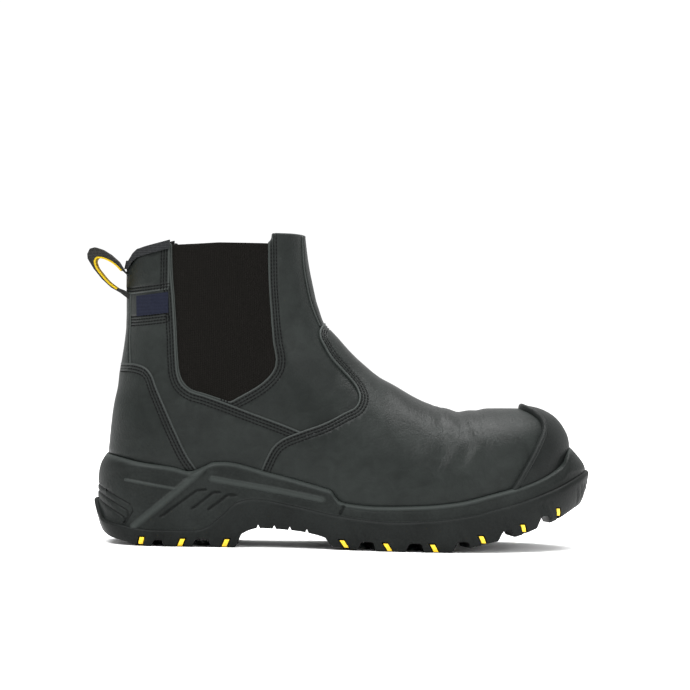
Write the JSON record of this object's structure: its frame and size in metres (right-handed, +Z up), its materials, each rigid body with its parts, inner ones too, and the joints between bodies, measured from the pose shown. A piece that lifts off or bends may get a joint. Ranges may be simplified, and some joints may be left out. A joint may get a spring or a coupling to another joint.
{
  "type": "leather boot",
  "caption": "Ankle-high pull-on leather work boot with elastic side panels, rubber toe cap, lugged sole and heel pull loop; right foot.",
  "frame": {"origin": "on the floor under the middle of the heel", "axes": "+X to the toe, +Z up, -Y to the outer side of the foot"},
  "size_m": [0.312, 0.1139, 0.192],
  "materials": {
    "outsole_rubber": "matte moulded rubber",
    "midsole_foam": "matte moulded polyurethane",
    "upper_leather": "oiled full-grain leather, soft sheen",
    "insole_fabric": "knitted lining",
    "cap_rubber": "finely grained rubber",
    "gore_elastic": "ribbed elastic",
    "label_fabric": "woven patch",
    "binding_fabric": "ribbed tape",
    "loop_webbing": "woven webbing",
    "insert_yellow": "satin yellow rubber"
  },
  "bodies": {
    "root": {"outsole": "outsole_rubber", "midsole": "midsole_foam", "upper": "upper_leather", "insole": "insole_fabric", "toe_cap": "cap_rubber", "gore_lateral": "gore_elastic", "gore_medial": "gore_elastic", "side_label": "label_fabric", "collar_binding": "binding_fabric", "pull_loop": "loop_webbing", "lug_insert_lateral_1": "insert_yellow", "lug_insert_medial_1": "insert_yellow", "lug_insert_lateral_2": "insert_yellow", "lug_insert_medial_2": "insert_yellow", "lug_insert_lateral_3": "insert_yellow", "lug_insert_medial_3": "insert_yellow", "lug_insert_lateral_4": "insert_yellow", "lug_insert_medial_4": "insert_yellow", "lug_insert_lateral_5": "insert_yellow", "lug_insert_medial_5": "insert_yellow", "lug_insert_lateral_6": "insert_yellow", "lug_insert_medial_6": "insert_yellow", "lug_insert_lateral_7": "insert_yellow", "lug_insert_medial_7": "insert_yellow", "lug_insert_lateral_8": "insert_yellow", "lug_insert_medial_8": "insert_yellow", "lug_insert_lateral_9": "insert_yellow", "lug_insert_medial_9": "insert_yellow"}
  },
  "joints": []
}
